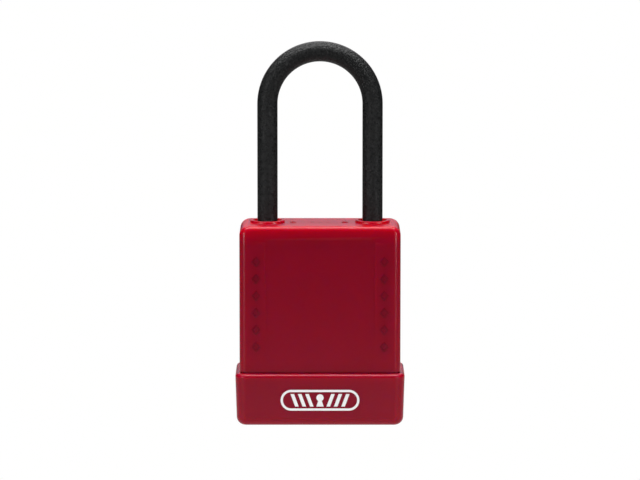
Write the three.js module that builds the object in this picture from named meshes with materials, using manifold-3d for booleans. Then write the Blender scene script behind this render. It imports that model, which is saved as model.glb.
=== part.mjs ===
// Keyed safety padlock in an insulating plastic jacket, as an assembly of its separate pieces.
//
// Millimetres. X runs across the front, the front faces -Y, Z is up, and the origin is under the
// middle of the base collar. The captive (heel) leg of the shackle is at -X, the free (toe) leg at +X.
// The lock is shown shut, with its pin tumblers lifted to the shear line.

import * as THREE from "three";
import { mergeVertices } from "three/addons/utils/BufferGeometryUtils.js";
import Module from "manifold-3d";

const wasm = await Module();
wasm.setup();

// ---------------------------------------------------------------- driving dimensions

// Base collar: a cup that closes the jacket from below and stands proud of it all round.
const COLLAR = { width: 40, depth: 21, top: 12.4, corner: 2.75, draft: 0.3, foot: 2, lip: 0.9 };
const COLLAR_ROOM = { width: 37.2, depth: 17.6, corner: 1.85, floor: 1.6 };
const COLLAR_FACE = 5; // radius of the opening over the plug

// Jacket: a five-walled shell over the lock block, open at the bottom. Its top edge is rounded to a
// larger radius at the two ends (endEdge) than along the front and back (longEdge).
const JACKET = { width: 38, depth: 18.2, top: 47.3, corner: 1.75, endEdge: 2.3, longEdge: 1.05 };
const JACKET_ROOM = { width: 34.5, depth: 15, corner: 1.6, ceiling: 45.6 };
const LEDGE_GAP = 0.3; // between the collar's lip and the step in the jacket above it
const SKIRT = { step: 0.6, bottom: 1.95 };
const BOSS = { radius: 4.1, height: 0.55, edge: 0.2, hole: 2.5, dish: 3.4, dishDepth: 0.4 };
const PANEL = { width: 26, top: 44.2, depth: 0.2 };
const MARKS = { rows: 6, pitch: 4.05, lowest: 18.7, fromMiddle: 15.2, width: 1.8, height: 2.2, relief: 0.12 };
const SNAP = { length: 8, height: 1.2, relief: 0.5, z: 7, gap: 0.25 };
const ROOT = 0.5; // how far an added feature reaches into the wall that carries it

// Shackle: a steel rod bent to a U, in an insulating sleeve.
const SHACKLE = { pitch: 24.85, crest: 90.26, coreRadius: 1.95, sleeveBore: 2, sleeveRadius: 2.4 };
const SLEEVE_END = 46.3;
const TOE_END = 37.2;
const FLANGE_THICKNESS = 1.6;
const LIFT = 10.5;
const ARCH_STEPS = 24;
const ROD_SIDES = 20;

// Lock block: the metal body that the jacket covers.
const BLOCK = { width: 34, depth: 14.6, bottom: 1.9, top: 45.4, corner: 1.5 };
const LEG_BORE = 2.1;
const TOE_GAP = 0.4;
const SPRING_SEAT = 9.4;

// Locking balls, and the cam that holds them out: the balls draw in by BALL_TRAVEL over the whole lift.
const BALL = { radius: 2.5, z: 41.35, rest: 8.8, channel: 2.6, notch: 2.65 };
const BALL_TRAVEL = 3.675;
const CAM = { thickness: 3.2, clearance: 0.1, spindle: 2.3, hold: 8, fall: 28, fallSteps: 4, flankSteps: 16 };
const CAM_CHAMBER = { radius: 6.45, belowCam: 0.25, shaft: 2.6 };
const TONGUE = { width: 1.8, depth: 4.2, bottom: 25.2 };
const TONGUE_POCKET = { width: 2, depth: 4.4, bottom: 25 };
const COVER = { halfWidth: 9.4, halfDepth: 6.4, bottom: 44.35, thickness: 0.95, gap: 0.15, seatGap: 0.1 };

// Cylinder plug and its pin tumblers, in chambers that run towards +X.
const PLUG = { radius: 4.6, bore: 4.75, bottom: 0.6, top: 27, chamfer: 0.3, boreEnd: 27.3 };
const KEYWAY = { halfWidth: 0.7, from: -4.1, to: 2.4, top: 22.3 };
const WARD = { from: -2.3, to: -1.1, y: 0.15 };
const SIDE_GROOVE = { halfLength: 0.6, depth: 0.45 };
const GROOVE = { radius: 3.9, z: 23.6, halfHeight: 0.7 };
const TUMBLER = { first: 6.9, pitch: 3.2, radius: 1.25, chamber: 1.35, keyPinOuter: 4.4, driverInner: 4.85 };
const KEY_PIN_LENGTHS = [3.4, 2.6, 3, 2.2, 2.8];
const KEY_PIN_TIP = { radius: 0.35, length: 0.9 };
const DRIVER_LENGTH = 3;
const PIN_CHAMFER = 0.15;
const STRIP = { inner: 16, thickness: 0.9, halfWidth: 1.6, margin: 0.15, seatGap: 0.05, cover: 1.8 };

// Retaining pins, which enter from the front of the block: tip is the Y of their inner ends.
const PLUG_PIN_RADIUS = 0.6;
const SHACKLE_PIN = { radius: 0.75, z: 35.5, neck: 1.3, slack: 0.2 };
const PIN_HOLE = { tip: 3, headGap: 0.1, tipGap: 0.2, sideGap: 0.05 };
const PIN_CLEARANCE = 0.1;

// Springs: wire radius, mean coil radius, turns.
const SHACKLE_SPRING = { wire: 0.28, coil: 1.55, turns: 7 };
const TUMBLER_SPRING = { wire: 0.16, coil: 0.95, turns: 5 };
const SPRING_GAP = 0.1;

// ---------------------------------------------------------------- worked out from them

const LEG_X = SHACKLE.pitch / 2;
const ARCH_Z = SHACKLE.crest - SHACKLE.sleeveRadius - LEG_X;
const BOSS_TOP = JACKET.top + BOSS.height;
const JACKET_STEP = COLLAR.top + LEDGE_GAP;
const SKIRT_FACE = JACKET.width / 2 - SKIRT.step;
const NECK_TOP = SHACKLE_PIN.z + SHACKLE_PIN.radius + SHACKLE_PIN.slack;
const FLANGE_TOP = SHACKLE_PIN.z - LIFT - SHACKLE_PIN.radius - SHACKLE_PIN.slack;
const HEEL_END = FLANGE_TOP - FLANGE_THICKNESS;
const SPINDLE_FOOT = PLUG.top + CAM.clearance;
const BEYOND = 5; // how far a cutter reaches past the face that it cuts

const MATERIALS = {
  jacket: new THREE.MeshStandardMaterial({ color: 0x9c1426, roughness: 0.35, metalness: 0 }),
  sleeve: new THREE.MeshStandardMaterial({ color: 0x222324, roughness: 0.7, metalness: 0 }),
  steel: new THREE.MeshStandardMaterial({ color: 0xa9abad, roughness: 0.3, metalness: 1 }),
  brass: new THREE.MeshStandardMaterial({ color: 0xb5974f, roughness: 0.35, metalness: 1 }),
  alloy: new THREE.MeshStandardMaterial({ color: 0x9fa2a4, roughness: 0.5, metalness: 1 }),
};
for (const material of Object.values(MATERIALS)) {
  material.flatShading = true;
}

// ---------------------------------------------------------------- shapes and solids

/** A solid for boolean work, from a closed three.js geometry. */
function solidOf(geometry) {
  for (const name of ["normal", "uv"]) {
    geometry.deleteAttribute(name);
  }
  const merged = mergeVertices(geometry, 1e-4);
  const mesh = new wasm.Mesh({
    numProp: 3,
    vertProperties: merged.attributes.position.array,
    triVerts: Uint32Array.from(merged.index.array),
  });
  return new wasm.Manifold(mesh);
}

/** A named mesh from a solid. */
function piece(name, solid, material) {
  const { vertProperties, triVerts } = solid.getMesh();
  const geometry = new THREE.BufferGeometry();
  geometry.setAttribute("position", new THREE.BufferAttribute(vertProperties, 3));
  geometry.setIndex(new THREE.BufferAttribute(triVerts, 1));
  const mesh = new THREE.Mesh(geometry, material);
  mesh.name = name;
  return mesh;
}

/** A box between two corners. */
function box(low, high) {
  const size = high.map((value, axis) => value - low[axis]);
  const geometry = new THREE.BoxGeometry(...size);
  geometry.translate(...low.map((value, axis) => value + size[axis] / 2));
  return solidOf(geometry);
}

/** A cylinder along axis "x", "y" or "z", from one height to another, through the point at. */
function rod(axis, radius, from, to, at = [0, 0, 0], sides = 24) {
  const geometry = new THREE.CylinderGeometry(radius, radius, to - from, sides);
  return solidOf(alongAxis(geometry.translate(0, (from + to) / 2, 0), axis, at));
}

/** Turns a geometry made along +Y to lie along +X, +Y or +Z, and moves it so its axis passes through at. */
function alongAxis(geometry, axis, at) {
  if (axis === "z") {
    geometry.rotateX(Math.PI / 2);
  }
  if (axis === "x") {
    geometry.rotateZ(-Math.PI / 2);
  }
  return geometry.translate(...at);
}

/** A turned piece from a profile of [radius, height] pairs that starts and ends on the axis. */
function turned(profile, axis, at, sides = 16) {
  const points = profile.map(([radius, height]) => new THREE.Vector2(radius, height));
  return solidOf(alongAxis(new THREE.LatheGeometry(points, sides), axis, at));
}

/** The points of a regular polygon. */
function polygon(radius, sides) {
  return Array.from({ length: sides }, (_, i) => {
    const angle = (2 * Math.PI * i) / sides;
    return new THREE.Vector2(radius * Math.cos(angle), radius * Math.sin(angle));
  });
}

/** A closed solid through a stack of rounded rectangles, each { z, halfWidth, halfDepth, corner }. */
function stack(sections, cornerSteps = 6) {
  const positions = [];
  const triangles = [];
  const around = 4 * (cornerSteps + 1);
  for (const { z, halfWidth, halfDepth, corner } of sections) {
    for (let i = 0; i < around; i += 1) {
      const quarter = Math.floor(i / (cornerSteps + 1));
      const angle = (Math.PI / 2) * (quarter + (i % (cornerSteps + 1)) / cornerSteps);
      const signX = quarter === 0 || quarter === 3 ? 1 : -1;
      const signY = quarter < 2 ? 1 : -1;
      const x = signX * (halfWidth - corner) + corner * Math.cos(angle);
      const y = signY * (halfDepth - corner) + corner * Math.sin(angle);
      positions.push(x, y, z);
    }
  }
  for (let level = 0; level + 1 < sections.length; level += 1) {
    for (let i = 0; i < around; i += 1) {
      const a = level * around + i;
      const b = level * around + ((i + 1) % around);
      triangles.push(a, b, b + around, a, b + around, a + around);
    }
  }
  const last = (sections.length - 1) * around;
  for (let i = 1; i + 1 < around; i += 1) {
    triangles.push(0, i + 1, i, last, last + i, last + i + 1);
  }
  const geometry = new THREE.BufferGeometry();
  geometry.setAttribute("position", new THREE.Float32BufferAttribute(positions, 3));
  geometry.setIndex(triangles);
  return solidOf(geometry);
}

/** A rounded rectangle at height z, drawn in at its ends by endInset and along its length by longInset. */
function section({ width, depth, corner }, z, endInset = 0, longInset = endInset) {
  const halfWidth = width / 2 - endInset;
  const halfDepth = depth / 2 - longInset;
  return { z, halfWidth, halfDepth, corner: corner - Math.min(endInset, longInset) };
}

/** How far a rounded edge draws in at a depth of drop below the face that it meets. */
function insetAt(drop, radius) {
  const short = Math.max(0, radius - drop);
  return radius - Math.sqrt(radius * radius - short * short);
}

/** Sections that round an edge at height z, up (side 1) or down (side -1), from upright to level. */
function roundedEdge(outline, z, side, endRadius, longRadius = endRadius, steps = 4) {
  const reach = Math.max(endRadius, longRadius);
  return Array.from({ length: steps + 1 }, (_, i) => {
    const drop = reach * (1 - Math.sin((Math.PI / 2) * (i / steps)));
    return section(outline, z - side * drop, insetAt(drop, endRadius), insetAt(drop, longRadius));
  });
}

// ---------------------------------------------------------------- jacket and collar

function makeJacket() {
  const skirt = { ...JACKET, width: JACKET.width - 2 * SKIRT.step, depth: JACKET.depth - 2 * SKIRT.step };
  let jacket = stack([
    section(skirt, SKIRT.bottom),
    section(skirt, JACKET_STEP),
    section(JACKET, JACKET_STEP),
    ...roundedEdge(JACKET, JACKET.top, 1, JACKET.endEdge, JACKET.longEdge, 7),
  ]);
  for (const side of [-1, 1]) {
    jacket = jacket.add(boss(side * LEG_X)).add(snapRib(side)).add(markColumn(side));
  }
  jacket = jacket.subtract(
    stack([section(JACKET_ROOM, SKIRT.bottom - BEYOND), section(JACKET_ROOM, JACKET_ROOM.ceiling)]),
  );
  for (const side of [-1, 1]) {
    const at = [side * LEG_X, 0, 0];
    jacket = jacket
      .subtract(rod("z", BOSS.hole, JACKET_ROOM.ceiling - BEYOND, BOSS_TOP + BEYOND, at))
      .subtract(rod("z", BOSS.dish, BOSS_TOP - BOSS.dishDepth, BOSS_TOP + BEYOND, at, 32));
  }
  return jacket.subtract(labelPanel());
}

/** The raised ring round a shackle leg, before its dish and its hole are cut. */
function boss(x) {
  const foot = JACKET.top - ROOT;
  const profile = [
    [0, foot],
    [BOSS.radius, foot],
    [BOSS.radius, BOSS_TOP - BOSS.edge],
    [BOSS.radius - BOSS.edge, BOSS_TOP],
    [0, BOSS_TOP],
  ];
  return turned(profile, "z", [x, 0, 0], 32);
}

/** The rib on one end of the skirt that snaps into the collar. */
function snapRib(side) {
  const reach = [side * (SKIRT_FACE - ROOT), side * (SKIRT_FACE + SNAP.relief)].sort((a, b) => a - b);
  return box(
    [reach[0], -SNAP.length / 2, SNAP.z - SNAP.height / 2],
    [reach[1], SNAP.length / 2, SNAP.z + SNAP.height / 2],
  );
}

/** One column of small lozenges moulded beside the label panel. */
function markColumn(side) {
  const outline = new THREE.Shape([
    new THREE.Vector2(MARKS.width / 2, 0),
    new THREE.Vector2(0, MARKS.height / 2),
    new THREE.Vector2(-MARKS.width / 2, 0),
    new THREE.Vector2(0, -MARKS.height / 2),
  ]);
  const options = { depth: ROOT + MARKS.relief, bevelEnabled: false };
  let column = null;
  for (let row = 0; row < MARKS.rows; row += 1) {
    const geometry = new THREE.ExtrudeGeometry(outline, options);
    geometry.rotateX(Math.PI / 2);
    const z = MARKS.lowest + row * MARKS.pitch;
    geometry.translate(side * MARKS.fromMiddle, ROOT - JACKET.depth / 2, z);
    const mark = solidOf(geometry);
    column = column ? column.add(mark) : mark;
  }
  return column;
}

/** What is cut away for the shallow label panel on the front. */
function labelPanel() {
  const front = -JACKET.depth / 2;
  return box(
    [-PANEL.width / 2, front - BEYOND, COLLAR.top],
    [PANEL.width / 2, front + PANEL.depth, PANEL.top],
  );
}

function makeCollar() {
  const foot = { ...COLLAR, width: COLLAR.width - 2 * COLLAR.draft, depth: COLLAR.depth - 2 * COLLAR.draft };
  const bottomEdge = roundedEdge(foot, 0, -1, COLLAR.foot).reverse();
  const outside = stack([...bottomEdge, ...roundedEdge(COLLAR, COLLAR.top, 1, COLLAR.lip)]);
  const room = stack([section(COLLAR_ROOM, COLLAR_ROOM.floor), section(COLLAR_ROOM, COLLAR.top + BEYOND)]);
  const face = rod("z", COLLAR_FACE, -BEYOND, COLLAR_ROOM.floor + BEYOND, [0, 0, 0], 36);
  let collar = outside.subtract(room).subtract(face);
  for (const side of [-1, 1]) {
    collar = collar.subtract(snapPocket(side));
  }
  return collar;
}

/** The pocket inside the collar that takes a snap rib. */
function snapPocket(side) {
  const { length, height, relief, z, gap } = SNAP;
  const mouth = COLLAR_ROOM.width / 2 - ROOT;
  const reach = [side * mouth, side * (SKIRT_FACE + relief + gap)].sort((a, b) => a - b);
  return box(
    [reach[0], -length / 2 - gap, z - height / 2 - gap],
    [reach[1], length / 2 + gap, z + height / 2 + gap],
  );
}

// ---------------------------------------------------------------- lock block

function makeBlock() {
  let block = stack([section(BLOCK, BLOCK.bottom), section(BLOCK, BLOCK.top)]);
  const above = BLOCK.top + BEYOND;
  const cuts = [
    rod("z", LEG_BORE, SPRING_SEAT, above, [-LEG_X, 0, 0]),
    rod("z", LEG_BORE, TOE_END - TOE_GAP, above, [LEG_X, 0, 0]),
    rod("z", PLUG.bore, BLOCK.bottom - BEYOND, PLUG.boreEnd, [0, 0, 0], 40),
    rod("z", CAM_CHAMBER.shaft, PLUG.top - 1, BALL.z, [0, 0, 0]),
    rod("z", CAM_CHAMBER.radius, BALL.z - CAM.thickness / 2 - CAM_CHAMBER.belowCam, above, [0, 0, 0], 40),
    ballChannel(),
    coverRecess(),
    pinHole(PLUG_PIN_RADIUS, plugPinX(), GROOVE.z),
    pinHole(SHACKLE_PIN.radius, shacklePinX(), SHACKLE_PIN.z),
    stripRecess(),
  ];
  for (let i = 0; i < KEY_PIN_LENGTHS.length; i += 1) {
    cuts.push(rod("x", TUMBLER.chamber, 0, STRIP.inner + ROOT, [0, 0, tumblerZ(i)], 16));
  }
  for (const cut of cuts) {
    block = block.subtract(cut);
  }
  return block;
}

/** The hole in the block for a retaining pin. */
function pinHole(radius, x, z) {
  return rod("y", radius + PIN_HOLE.sideGap, -BLOCK.depth, PIN_HOLE.tip + PIN_HOLE.tipGap, [x, 0, z], 16);
}

function tumblerZ(index) {
  return TUMBLER.first + index * TUMBLER.pitch;
}

function plugPinX() {
  return -(GROOVE.radius + PIN_CLEARANCE + PLUG_PIN_RADIUS);
}

function shacklePinX() {
  return -LEG_X + SHACKLE_PIN.neck + PIN_CLEARANCE + SHACKLE_PIN.radius;
}

/** The channel that guides the balls between the two leg bores, open upwards for assembly. */
function ballChannel() {
  const gutter = rod("x", BALL.channel, -LEG_X, LEG_X, [0, 0, BALL.z]);
  return gutter.add(box([-LEG_X, -BALL.channel, BALL.z], [LEG_X, BALL.channel, COVER.bottom + ROOT]));
}

function coverRecess() {
  const halfWidth = COVER.halfWidth + COVER.gap;
  const halfDepth = COVER.halfDepth + COVER.gap;
  return box(
    [-halfWidth, -halfDepth, COVER.bottom - COVER.seatGap],
    [halfWidth, halfDepth, BLOCK.top + BEYOND],
  );
}

function makeCoverPlate() {
  return box(
    [-COVER.halfWidth, -COVER.halfDepth, COVER.bottom],
    [COVER.halfWidth, COVER.halfDepth, COVER.bottom + COVER.thickness],
  );
}

/** The slot in the side of the block that the chamber strip closes. */
function stripRecess() {
  const { low, high } = stripSpan(STRIP.margin);
  return box(
    [STRIP.inner, -STRIP.halfWidth - STRIP.margin, low],
    [BLOCK.width / 2 + BEYOND, STRIP.halfWidth + STRIP.margin, high],
  );
}

function makeStrip() {
  const { low, high } = stripSpan(0);
  const inner = STRIP.inner + STRIP.seatGap;
  return box([inner, -STRIP.halfWidth, low], [inner + STRIP.thickness, STRIP.halfWidth, high]);
}

/** The heights that the strip covers, grown by a margin at each end. */
function stripSpan(margin) {
  const cover = STRIP.cover + margin;
  return { low: tumblerZ(0) - cover, high: tumblerZ(KEY_PIN_LENGTHS.length - 1) + cover };
}

// ---------------------------------------------------------------- shackle

/** The centre line of the shackle: up the heel leg, round the arch, down the toe leg. */
class ShackleLine extends THREE.Curve {
  constructor(heelEnd, toeEnd) {
    super();
    this.heelEnd = heelEnd;
    this.toeEnd = toeEnd;
    this.steps = ARCH_STEPS + 2;
  }

  getUtoTmapping(u) {
    return u;
  }

  getPoint(t) {
    const at = t * this.steps;
    if (at <= 1) {
      return new THREE.Vector3(-LEG_X, 0, THREE.MathUtils.lerp(this.heelEnd, ARCH_Z, at));
    }
    if (at >= this.steps - 1) {
      return new THREE.Vector3(LEG_X, 0, THREE.MathUtils.lerp(this.toeEnd, ARCH_Z, this.steps - at));
    }
    const angle = (Math.PI * (at - 1)) / ARCH_STEPS;
    return new THREE.Vector3(-LEG_X * Math.cos(angle), 0, ARCH_Z + LEG_X * Math.sin(angle));
  }
}

function bentRod(radius, heelEnd, toeEnd) {
  const line = new ShackleLine(heelEnd, toeEnd);
  const outline = new THREE.Shape(polygon(radius, ROD_SIDES));
  const options = { steps: line.steps, extrudePath: line, bevelEnabled: false };
  return solidOf(new THREE.ExtrudeGeometry(outline, options));
}

function makeSleeve() {
  const skin = bentRod(SHACKLE.sleeveRadius, SLEEVE_END, SLEEVE_END);
  return skin.subtract(bentRod(SHACKLE.sleeveBore, SLEEVE_END - BEYOND, SLEEVE_END - BEYOND));
}

function makeCore() {
  const core = bentRod(SHACKLE.coreRadius, HEEL_END, TOE_END);
  return core.subtract(heelNeck()).subtract(ballNotch(-1)).subtract(ballNotch(1));
}

/** What is turned away for the neck that the retaining pin runs in. */
function heelNeck() {
  const at = [-LEG_X, 0, 0];
  const ring = rod("z", SHACKLE.coreRadius + 1, FLANGE_TOP, NECK_TOP, at);
  return ring.subtract(rod("z", SHACKLE_PIN.neck, FLANGE_TOP - 1, NECK_TOP + 1, at));
}

/** The notch for a ball, cut along the path that the ball takes past the rising leg. */
function ballNotch(side) {
  const reach = 4;
  const travel = new THREE.Vector3(-side * BALL_TRAVEL, 0, -LIFT).normalize();
  const capsule = new THREE.CapsuleGeometry(BALL.notch, reach, 8, 24);
  capsule.translate(0, reach / 2, 0);
  capsule.applyQuaternion(new THREE.Quaternion().setFromUnitVectors(new THREE.Vector3(0, 1, 0), travel));
  capsule.translate(side * BALL.rest, 0, BALL.z);
  return solidOf(capsule);
}

function makeBall(side) {
  const ball = new THREE.SphereGeometry(BALL.radius, 20, 14);
  return solidOf(ball.translate(side * BALL.rest, 0, BALL.z));
}

// ---------------------------------------------------------------- cylinder and cam

function makePlug() {
  const profile = [
    [0, PLUG.bottom],
    [PLUG.radius - PLUG.chamfer, PLUG.bottom],
    [PLUG.radius, PLUG.bottom + PLUG.chamfer],
    [PLUG.radius, GROOVE.z - GROOVE.halfHeight],
    [GROOVE.radius, GROOVE.z - GROOVE.halfHeight],
    [GROOVE.radius, GROOVE.z + GROOVE.halfHeight],
    [PLUG.radius, GROOVE.z + GROOVE.halfHeight],
    [PLUG.radius, PLUG.top],
    [0, PLUG.top],
  ];
  let plug = turned(profile, "z", [0, 0, 0], 40).subtract(keyway()).subtract(tonguePocket());
  for (let i = 0; i < KEY_PIN_LENGTHS.length; i += 1) {
    plug = plug.subtract(rod("x", TUMBLER.chamber, 0, PLUG.radius + BEYOND, [0, 0, tumblerZ(i)], 16));
  }
  return plug;
}

/** The pocket in the end of the plug that takes the tongue of the cam's spindle. */
function tonguePocket() {
  const { width, depth, bottom } = TONGUE_POCKET;
  return box([-width / 2, -depth / 2, bottom], [width / 2, depth / 2, PLUG.top + BEYOND]);
}

/** The key slot, with one ward standing into it and one groove in the wall across from it. */
function keyway() {
  const foot = PLUG.bottom - BEYOND;
  const half = KEYWAY.halfWidth;
  const slot = box([KEYWAY.from, -half, foot], [KEYWAY.to, half, KEYWAY.top]);
  const ward = box([WARD.from, WARD.y, foot], [WARD.to, half + ROOT, KEYWAY.top + ROOT]);
  const { halfLength, depth } = SIDE_GROOVE;
  const groove = box([-halfLength, -half - depth, foot], [halfLength, 0, KEYWAY.top]);
  return slot.subtract(ward).add(groove);
}

/** The cam: a plate that keeps its distance from both balls at every angle, on a spindle with a tongue. */
function makeCam() {
  const outline = new THREE.Shape([...camFlank(0), ...camFlank(Math.PI)]);
  const plate = new THREE.ExtrudeGeometry(outline, { depth: CAM.thickness, bevelEnabled: false });
  const spindle = rod("z", CAM.spindle, SPINDLE_FOOT, BALL.z, [0, 0, 0], 20);
  const tongue = box(
    [-TONGUE.width / 2, -TONGUE.depth / 2, TONGUE.bottom],
    [TONGUE.width / 2, TONGUE.depth / 2, SPINDLE_FOOT + ROOT],
  );
  return solidOf(plate.translate(0, 0, BALL.z - CAM.thickness / 2)).add(spindle).add(tongue);
}

/** Half of the cam's outline, starting at the peak of one lobe and going anticlockwise to the next. */
function camFlank(start) {
  const peak = BALL.rest - BALL.radius - CAM.clearance;
  const points = [];
  for (let i = 0; i < CAM.fallSteps; i += 1) {
    const part = i / CAM.fallSteps;
    const radius = THREE.MathUtils.lerp(peak, CAM.spindle, part);
    points.push(onCircle(radius, start + THREE.MathUtils.degToRad(CAM.hold + part * CAM.fall)));
  }
  for (let i = CAM.flankSteps; i >= 0; i -= 1) {
    points.push(camContact(start + Math.PI, i / CAM.flankSteps));
  }
  return points;
}

/** Where the cam would touch a ball at lobe angle lobe, once the cam has turned part of its quarter turn. */
function camContact(lobe, part) {
  const slope = -BALL_TRAVEL / (Math.PI / 2);
  const centre = BALL.rest - BALL_TRAVEL * part;
  const angle = lobe - (Math.PI / 2) * part;
  const offset = (BALL.radius + CAM.clearance) / Math.hypot(centre, slope);
  const radial = centre - offset * centre;
  const across = -offset * slope;
  return new THREE.Vector2(
    radial * Math.cos(angle) - across * Math.sin(angle),
    radial * Math.sin(angle) + across * Math.cos(angle),
  );
}

function onCircle(radius, angle) {
  return new THREE.Vector2(radius * Math.cos(angle), radius * Math.sin(angle));
}

function makeKeyPin(index) {
  const length = KEY_PIN_LENGTHS[index];
  const { radius, keyPinOuter } = TUMBLER;
  const profile = [
    [0, -length],
    [KEY_PIN_TIP.radius, -length],
    [radius, KEY_PIN_TIP.length - length],
    [radius, -PIN_CHAMFER],
    [radius - PIN_CHAMFER, 0],
    [0, 0],
  ];
  return turned(profile, "x", [keyPinOuter, 0, tumblerZ(index)]);
}

function makeDriverPin(index) {
  const { radius, driverInner } = TUMBLER;
  const profile = [
    [0, 0],
    [radius - PIN_CHAMFER, 0],
    [radius, PIN_CHAMFER],
    [radius, DRIVER_LENGTH - PIN_CHAMFER],
    [radius - PIN_CHAMFER, DRIVER_LENGTH],
    [0, DRIVER_LENGTH],
  ];
  return turned(profile, "x", [driverInner, 0, tumblerZ(index)]);
}

// ---------------------------------------------------------------- pins and springs

/** A retaining pin in its hole, just below the front of the block. */
function retainingPin(radius, x, z) {
  return rod("y", radius, PIN_HOLE.headGap - BLOCK.depth / 2, PIN_HOLE.tip, [x, 0, z], 16);
}

function makePlugPin() {
  return retainingPin(PLUG_PIN_RADIUS, plugPinX(), GROOVE.z);
}

function makeShacklePin() {
  return retainingPin(SHACKLE_PIN.radius, shacklePinX(), SHACKLE_PIN.z);
}

/** A helix round the Z axis, from height 0 to height. */
class Coil extends THREE.Curve {
  constructor(radius, height, turns) {
    super();
    Object.assign(this, { radius, height, turns });
  }

  getPoint(t) {
    const angle = 2 * Math.PI * this.turns * t;
    return new THREE.Vector3(this.radius * Math.cos(angle), this.radius * Math.sin(angle), this.height * t);
  }
}

/** A coil spring between two seats, along +Z, as a geometry. */
function springGeometry({ wire, coil, turns }, length, stepsPerTurn) {
  const line = new Coil(coil, length - 2 * wire - 2 * SPRING_GAP, turns);
  const options = { steps: turns * stepsPerTurn, extrudePath: line, bevelEnabled: false };
  const geometry = new THREE.ExtrudeGeometry(new THREE.Shape(polygon(wire, 6)), options);
  return geometry.translate(0, 0, wire + SPRING_GAP);
}

function makeShackleSpring() {
  const geometry = springGeometry(SHACKLE_SPRING, HEEL_END - SPRING_SEAT, 12);
  return solidOf(geometry.translate(-LEG_X, 0, SPRING_SEAT));
}

function makeTumblerSpring(index) {
  const from = TUMBLER.driverInner + DRIVER_LENGTH;
  const geometry = springGeometry(TUMBLER_SPRING, STRIP.inner - from, 10);
  return solidOf(geometry.rotateY(Math.PI / 2).translate(from, 0, tumblerZ(index)));
}

// ---------------------------------------------------------------- the assembly

const padlock = new THREE.Group();
padlock.name = "safety_padlock";
padlock.add(
  piece("body_jacket", makeJacket(), MATERIALS.jacket),
  piece("base_collar", makeCollar(), MATERIALS.jacket),
  piece("lock_block", makeBlock(), MATERIALS.alloy),
  piece("cam_cover_plate", makeCoverPlate(), MATERIALS.steel),
  piece("chamber_strip", makeStrip(), MATERIALS.brass),
  piece("shackle_core", makeCore(), MATERIALS.steel),
  piece("shackle_sleeve", makeSleeve(), MATERIALS.sleeve),
  piece("shackle_spring", makeShackleSpring(), MATERIALS.steel),
  piece("shackle_retaining_pin", makeShacklePin(), MATERIALS.steel),
  piece("locking_ball_heel", makeBall(-1), MATERIALS.steel),
  piece("locking_ball_toe", makeBall(1), MATERIALS.steel),
  piece("lock_cam", makeCam(), MATERIALS.steel),
  piece("cylinder_plug", makePlug(), MATERIALS.brass),
  piece("plug_retaining_pin", makePlugPin(), MATERIALS.steel),
);
for (let i = 0; i < KEY_PIN_LENGTHS.length; i += 1) {
  padlock.add(
    piece(`key_pin_${i + 1}`, makeKeyPin(i), MATERIALS.brass),
    piece(`driver_pin_${i + 1}`, makeDriverPin(i), MATERIALS.brass),
    piece(`tumbler_spring_${i + 1}`, makeTumblerSpring(i), MATERIALS.steel),
  );
}

export default padlock;
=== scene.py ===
"""Safety padlock: the looks of its pieces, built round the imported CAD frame.

Metres. X runs across the front, the front faces -Y, Z is up. Lengths of fine detail are given in
millimetres and turned into metres by MM. Places come from the boxes of the CAD nodes.
"""

import math

import bmesh
import bpy
from mathutils import Matrix, Vector


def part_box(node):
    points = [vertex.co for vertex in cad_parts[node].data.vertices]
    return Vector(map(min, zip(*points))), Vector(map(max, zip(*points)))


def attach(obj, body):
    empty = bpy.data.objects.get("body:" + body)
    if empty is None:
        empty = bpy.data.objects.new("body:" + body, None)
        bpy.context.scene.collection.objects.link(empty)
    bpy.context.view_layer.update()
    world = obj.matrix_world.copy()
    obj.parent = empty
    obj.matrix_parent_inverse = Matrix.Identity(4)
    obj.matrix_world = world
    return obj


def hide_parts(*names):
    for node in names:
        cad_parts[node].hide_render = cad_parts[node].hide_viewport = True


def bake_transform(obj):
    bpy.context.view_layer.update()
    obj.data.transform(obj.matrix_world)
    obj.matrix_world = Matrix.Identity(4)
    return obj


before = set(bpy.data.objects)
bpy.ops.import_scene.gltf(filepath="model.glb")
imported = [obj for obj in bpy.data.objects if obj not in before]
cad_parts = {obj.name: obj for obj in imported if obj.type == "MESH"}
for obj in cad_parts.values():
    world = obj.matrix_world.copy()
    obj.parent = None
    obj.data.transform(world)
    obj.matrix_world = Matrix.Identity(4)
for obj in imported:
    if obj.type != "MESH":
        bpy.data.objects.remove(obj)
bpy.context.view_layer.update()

MM = 0.001

# ------------------------------------------------------------------ places read from the frame

jacket_low, jacket_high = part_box("body_jacket")
collar_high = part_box("base_collar")[1]
sleeve_low, sleeve_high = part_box("shackle_sleeve")
core_low, core_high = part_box("shackle_core")
plug_low, plug_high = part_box("cylinder_plug")
toe_ball_low, toe_ball_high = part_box("locking_ball_toe")
pin_low, pin_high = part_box("shackle_retaining_pin")

SLEEVE_RADIUS = sleeve_high.y
LEG_X = sleeve_high.x - SLEEVE_RADIUS
ARCH_Z = sleeve_high.z - SLEEVE_RADIUS - LEG_X
SLEEVE_END = sleeve_low.z
CORE_RADIUS = core_high.y

# ------------------------------------------------------------------ details, in millimetres

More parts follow.
